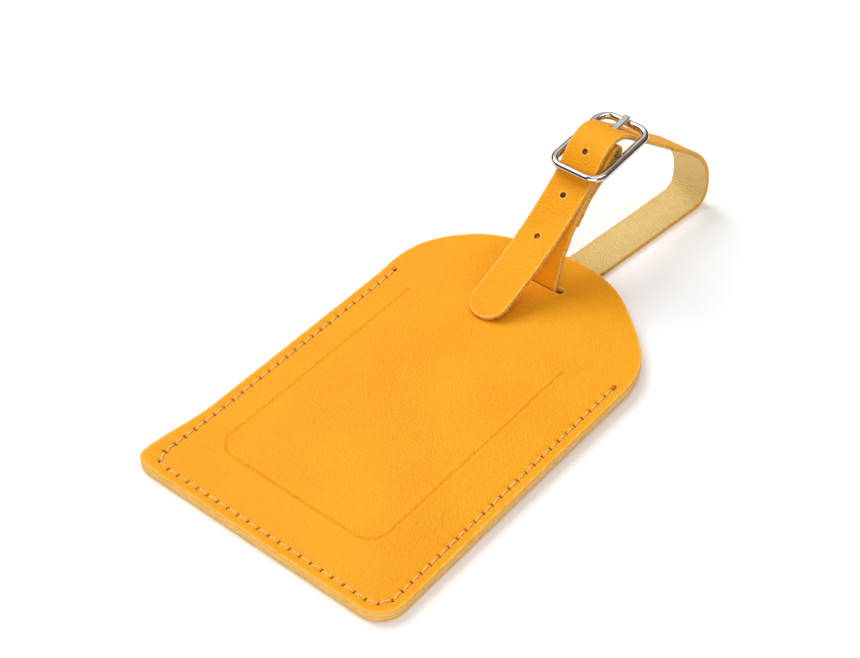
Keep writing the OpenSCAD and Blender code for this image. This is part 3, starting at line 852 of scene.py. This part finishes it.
def strip_loop(start, end, round_tip=False):
    """Outline of a length of strap on the flat: across is x, along is y."""
    half = STRAP_W / 2
    points = [(-half, start), (half, start)]
    if round_tip:
        points += arc(0, end - half, half, 0, 180, 30)
    else:
        points += [(half, end), (-half, end)]
    return resampled(points, 0.45)


def punched(centre, half_long, radius):
    points = arc(0, centre - half_long, radius, 180, 360) + arc(0, centre + half_long, radius, 0, 180)
    if half_long == 0:
        points = arc(0, centre, radius, 0, 345, 23)
    return resampled(points, 0.22)[::-1]


PUNCH, FIRST_HOLE, HOLE_PITCH = 0.7, 24.0, 11.6
holes = [punched(TOTAL - FIRST_HOLE - i * HOLE_PITCH, 0, PUNCH) for i in range(3)]
ring_marks = [(r * math.cos(a), TOTAL - FIRST_HOLE - i * HOLE_PITCH + r * math.sin(a)) for i in range(3)
              for r in (1.1, 1.45) for a in np.linspace(0, 2 * math.pi, 18, endpoint=False)]

# the prong comes up through the strap between the crest and the far bar
half_l = 11.3                       # from the centre bar's middle to the far bar's
EYE = 1.55                          # radius of the middle of the prong's eye
FRAME_TILT = math.radians(4.6)      # of the frame in the design
PRONG_RISE = 0.05                   # the prong lies this much above the frame's own slope
prong_turn = math.atan2(half_l * math.sin(FRAME_TILT) + PRONG_RISE, half_l * math.cos(FRAME_TILT))
crossing = min(np.arange(far_run, crest_run, 0.1), key=lambda s: abs(
    on_strap(0, s, 0)[2] - BAR.z - EYE - (on_strap(0, s, 0)[1] - BAR.y) * math.tan(prong_turn)))
prong_hole = punched(crossing, 1.1, 1.05)
eye_hole = punched(fold_run, 4.2, 1.1)

strap_lengths = [
    ("fixed_end", 0.0, slot_run, False, [eye_hole], ["buckle_end", "in_slot"]),
    ("loop", slot_run, far_run, False, [], []),
    ("tongue", far_run, TOTAL, True, holes + [prong_hole], ["tongue_end"]),
]
STRAP_STEP = 0.7
for layer, low, high, material, slot_name, rough in (
        ("skin", 0.0, STRAP_T / 2, leather, "coated_leather", 0.07),
        ("backing", -STRAP_T / 2, 0.0, strap_cloth, "woven_backing", 0.2)):
    for part, start, end, tip, cuts, nodes in strap_lengths:
        piece = cut_sheet(f"strap_{layer}_{part}", [strip_loop(start, end, tip)] + cuts, low, high, on_strap,
                          STRAP_STEP, extra=ring_marks if tip else (), edge=0.14, ragged=rough,
                          shade_hole_walls=True, material=material, slot=slot_name,
                          body="loop" if tip else None, nodes=[f"strap_{layer}_{n}" for n in nodes])
        if part == "fixed_end":
            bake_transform(piece)
        elif part == "loop":
            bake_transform(piece)

# two rows of three stitches hold the folded end together
parts = []
clamp_run = run_to(placed(FIXED[0]), low=fold_run, high=slot_run) + 6.2
for s in (2.2, clamp_run):
    for x in (-3, 0, 3):
        a, b = Vector(on_strap(x - 1.2, s, STRAP_T / 2)), Vector(on_strap(x + 1.2, s, STRAP_T / 2))
        out = (Vector(on_strap(x, s, 1)) - Vector(on_strap(x, s, 0))).normalized()
        parts.append(one_stitch(a, b, out))
points, faces, cut = joined(parts)
finish_piece("fold_seam_thread", points, faces, thread, "loop", "sewing_thread", ["fold_stitches"], cut)


# ---------------------------------------------------------------- buckle

# Half sizes of the wire's section. It is broader along the two sides than on the bars, and lies a
# quarter of a degree flatter than in the design, so that it clears the strap when the frame rocks.
WIRE, WIRE_TALL, WIRE_BAR, WIRE_SIDE = 0.95, 0.91, 0.92, 1.1
TILT = math.radians(4.35)
half_w = (bar_high.x - bar_low.x) / 2 - WIRE
FRAME_CORNER = 3.4


def tilted(angle, centre):
    return Matrix.Translation(centre) @ Matrix.Rotation(angle, 4, "X")


def frame_piece():
    """Round wire bent to a rounded rectangle, with its centre bar brazed across it."""
    run = rounded_loop(0, -half_l, 2 * half_w, 2 * half_l, FRAME_CORNER, 0.35)
    sides = 28
    points, faces, cut = [], [], []
    for i, (x, y) in enumerate(run):
        ahead, behind = run[(i + 1) % len(run)], run[i - 1]
        along = Vector((ahead[0] - behind[0], ahead[1] - behind[1], 0)).normalized()
        out = Vector((along.y, -along.x, 0))
        wide = WIRE_BAR + (WIRE_SIDE - WIRE_BAR) * out.x ** 6
        for k in range(sides):
            a = 2 * math.pi * k / sides
            points.append(Vector((x, y, WIRE_TALL * math.sin(a))) + out * (wide * math.cos(a)))
            cut.append((i * 0.35, a * WIRE, 0.0))
    n = len(run)
    for i in range(n):
        for k in range(sides):
            j, m = (i + 1) % n, (k + 1) % sides
            faces.append((i * sides + k, j * sides + k, j * sides + m, i * sides + m))
    bar = np.linspace(-half_w, half_w, 24)
    centre = tube([Vector((x, 0, 0)) for x in bar], [WIRE_TALL] * len(bar), 28)
    points, faces, cut = joined([(points, faces, cut), centre])
    move = tilted(TILT, BAR)
    return [move @ p for p in points], faces, cut


points, faces, cut = frame_piece()
finish_piece("buckle_wire_frame", points, faces, nickel, "buckle", "nickel_plate", ["buckle_frame"], cut)


def prong_piece():
    """A flat strip curled round the centre bar, with a rounded end that lies on the far bar."""
    centre_r, reach = EYE, half_l + WIRE - 0.55
    path = [Vector((0, centre_r * math.cos(math.radians(a)), centre_r * math.sin(math.radians(a))))
            for a in np.linspace(90 + 318, 90, 44)]
    path += [Vector((0, y, centre_r - 0.4 * smooth((y - half_l + 0.2) / 1.3)))
             for y in np.linspace(0.35, reach, 42)]
    corners = [(math.cos(a), math.sin(a)) for a in np.linspace(0, 2 * math.pi, 24, endpoint=False)]
    points, faces, cut = [], [], []
    tip_start, run = reach - 0.8, 0.0
    for i, p in enumerate(path):
        ahead = (path[min(i + 1, len(path) - 1)] - path[max(i - 1, 0)]).normalized()
        out = Vector((0, -ahead.z, ahead.y))
        run += (p - path[i - 1]).length if i else 0.0
        wide, thick = 0.92, 0.48
        if p.y > tip_start and i > 43:
            f = min(0.999, (p.y - tip_start) / 0.8)
            wide *= math.sqrt(1 - f * f)
            thick *= 0.55 + 0.45 * math.sqrt(1 - f * f)
        for cx, cy in corners:
            # a rounded rectangle: a circle pushed out towards its corners
            sx = math.copysign(abs(cx) ** 0.45, cx)
            sy = math.copysign(abs(cy) ** 0.45, cy)
            points.append(p + Vector((sx * wide, 0, 0)) + out * (sy * thick))
            cut.append((run, sx * wide, sy * thick))
    n = len(corners)
    for i in range(len(path) - 1):
        for k in range(n):
            a, b = i * n + k, i * n + (k + 1) % n
            faces.append((a, a + n, b + n, b))
    faces.append(tuple(range(n)))
    faces.append(tuple(reversed(range((len(path) - 1) * n, len(path) * n))))
    move = tilted(prong_turn, BAR)
    return [move @ p for p in points], faces, cut


points, faces, cut = prong_piece()
finish_piece("buckle_prong", points, faces, nickel, "tongue_pin", "nickel_plate", ["prong"], cut)


# ---------------------------------------------------------------- studio

def flat_floor():
    size = 4.0
    mesh = bpy.data.meshes.new("studio_floor")
    z = FLOOR_Z * MM
    corners = [(-size, -size, z), (size, -size, z), (size, size, z), (-size, size, z)]
    mesh.from_pydata(corners, [], [(0, 1, 2, 3)])
    mesh.materials.append(paper_sweep)
    floor = bpy.data.objects.new("studio_floor", mesh)
    bpy.context.scene.collection.objects.link(floor)


flat_floor()


def softbox(name, place, target, wide, tall, power, colour="#FFFFFF"):
    light = bpy.data.lights.new(name, "AREA")
    light.shape, light.size, light.size_y = "RECTANGLE", wide, tall
    light.energy, light.color = power, srgb(colour)[:3]
    lamp = bpy.data.objects.new(name, light)
    lamp.location = place
    lamp.rotation_euler = (Vector(target) - Vector(place)).to_track_quat("-Z", "Y").to_euler()
    bpy.context.scene.collection.objects.link(lamp)


softbox("key_softbox", (-0.75, 0.05, 0.95), (0, -0.03, 0), 0.8, 0.8, 10.9)
softbox("fill_softbox", (0.5, -0.85, 0.4), (0, -0.03, 0), 0.9, 0.5, 4.6)
softbox("back_reflector", (-0.55, 0.68, 0.85), (0, -0.03, 0), 0.8, 0.8, 1.3)
softbox("top_softbox", (0.25, 0.1, 1.2), (0, -0.03, 0), 0.9, 0.9, 4.0)

world = bpy.data.worlds.new("studio")
bpy.context.scene.world = world
world.use_nodes = True
w = world.node_tree
w.nodes.clear()
around = add(w, "ShaderNodeTexCoord").outputs["Generated"]
height = add(w, "ShaderNodeSeparateXYZ", {0: around}).outputs["Z"]
ramp = add(w, "ShaderNodeValToRGB", {"Fac": height})
stops = ramp.color_ramp.elements
stops[0].position, stops[0].color = 0.05, srgb("#1C1A19")
stops[1].position, stops[1].color = 0.7, srgb("#FFFFFF")
for position, colour in ((0.3, "#4A4744"), (0.42, "#C9C5C1")):
    stops.new(position).color = srgb(colour)
seen = add(w, "ShaderNodeLightPath").outputs["Is Camera Ray"]
shown = add(w, "ShaderNodeBackground", {"Color": srgb("#FAFAFB"), "Strength": 1.0})
lit = add(w, "ShaderNodeBackground", {"Color": ramp.outputs["Color"], "Strength": 0.22})
both = add(w, "ShaderNodeMixShader", {0: seen, 1: lit.outputs[0], 2: shown.outputs[0]})
add(w, "ShaderNodeOutputWorld", {"Surface": both.outputs[0]})

camera = bpy.data.cameras.new("studio_camera")
camera.lens, camera.sensor_width, camera.sensor_fit = 73.05, 36.0, "HORIZONTAL"
camera.clip_start = 0.01
eye = bpy.data.objects.new("studio_camera", camera)
eye.location = Vector((179.36, -264.71, 281.92)) * MM
aim = Vector((-12.26, -30.17, 2.8)) * MM
eye.rotation_euler = (aim - eye.location).to_track_quat("-Z", "Y").to_euler()
bpy.context.scene.collection.objects.link(eye)
bpy.context.scene.camera = eye
bpy.context.scene.view_settings.view_transform = "Standard"
